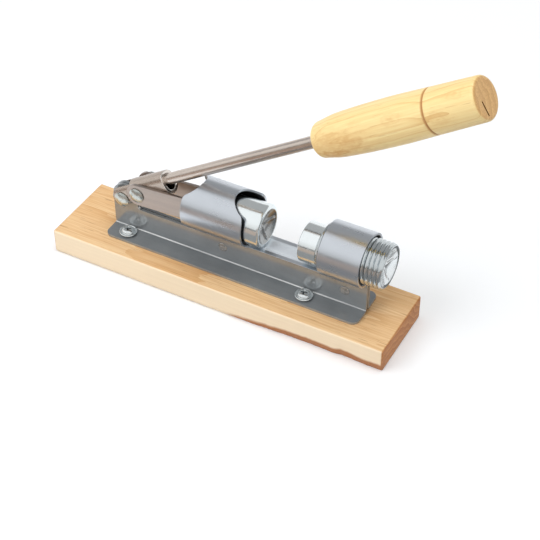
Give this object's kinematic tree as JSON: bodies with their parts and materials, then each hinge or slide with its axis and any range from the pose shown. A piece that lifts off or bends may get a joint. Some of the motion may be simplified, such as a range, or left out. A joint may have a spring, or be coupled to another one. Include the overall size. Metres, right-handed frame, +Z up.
{
  "type": "lever nutcracker",
  "caption": "Bench nutcracker: a wood-handled lever works links that push a ram along a steel barrel on a wooden base towards a threaded, adjustable anvil cup.",
  "frame": {"origin": "centre of the wooden base's underside", "axes": "+X along the base from the lever's pivot towards the anvil, +Y across the base to the far side, +Z up"},
  "size_m": [0.2942, 0.06, 0.216],
  "materials": {
    "board_wood": "planed, clear oil",
    "handle_wood": "turned, clear lacquer",
    "rail_zinc": "satin zinc plate",
    "barrel_steel": "satin zinc plate",
    "thread_zinc": "bright zinc plate",
    "screw_zinc": "bright zinc plate",
    "rivet_zinc": "pale zinc plate",
    "nickel_plate": "satin nickel plate",
    "chrome_plate": "bright chrome plate"
  },
  "bodies": {
    "frame": {"base_board": "board_wood", "near_rail": "rail_zinc", "far_rail": "rail_zinc", "barrel": "barrel_steel", "anvil_nut": "thread_zinc", "rear_web_rivet": "rail_zinc", "front_web_rivet": "rail_zinc", "near_rear_screw": "screw_zinc", "near_front_screw": "screw_zinc", "far_rear_screw": "screw_zinc", "far_front_screw": "screw_zinc", "pivot_rivet": "rivet_zinc", "near_pivot_washer": "rivet_zinc", "far_pivot_washer": "rivet_zinc"},
    "lever": {"yoke": "nickel_plate", "lever_rod": "nickel_plate", "handle": "handle_wood", "link_rivet": "rivet_zinc", "link_washer": "rivet_zinc"},
    "links": {"near_link": "nickel_plate", "far_link": "nickel_plate", "ram_pin": "rivet_zinc"},
    "ram": {"ram": "chrome_plate"},
    "cup": {"anvil_cup": "chrome_plate"},
    "screw": {"anvil_screw": "thread_zinc"}
  },
  "joints": [
    {"name": "lever_pivot", "type": "hinge", "parent": "frame", "child": "lever", "pos_m": [-0.0815, 0, 0.0462], "axis": [0, -1, 0], "range_deg": [-3, 58]},
    {"name": "link_swing", "type": "hinge", "parent": "lever", "child": "links", "pos_m": [-0.0679, 0, 0.0559], "axis": [0, -1, 0], "range_deg": [-65.18, 3.47]},
    {"name": "ram_slide", "type": "slide", "parent": "frame", "child": "ram", "axis": [1, 0, 0], "range_m": [-0.01544, 0.00085]},
    {"name": "anvil_feed", "type": "slide", "parent": "frame", "child": "cup", "axis": [1, 0, 0], "range_m": [-0.01201, 0.00601]},
    {"name": "anvil_turn", "type": "hinge", "parent": "cup", "child": "screw", "pos_m": [0.06785, 0, 0.0616], "axis": [1, 0, 0], "range_deg": [-1440, 720]}
  ],
  "couplings": [
    {"joint": "link_swing", "follows": "lever_pivot", "ratio": -1.122},
    {"joint": "ram_slide", "follows": "lever_pivot", "m_per_rad": -0.0152},
    {"joint": "anvil_feed", "follows": "anvil_turn", "m_per_rad": 0.00047746}
  ]
}
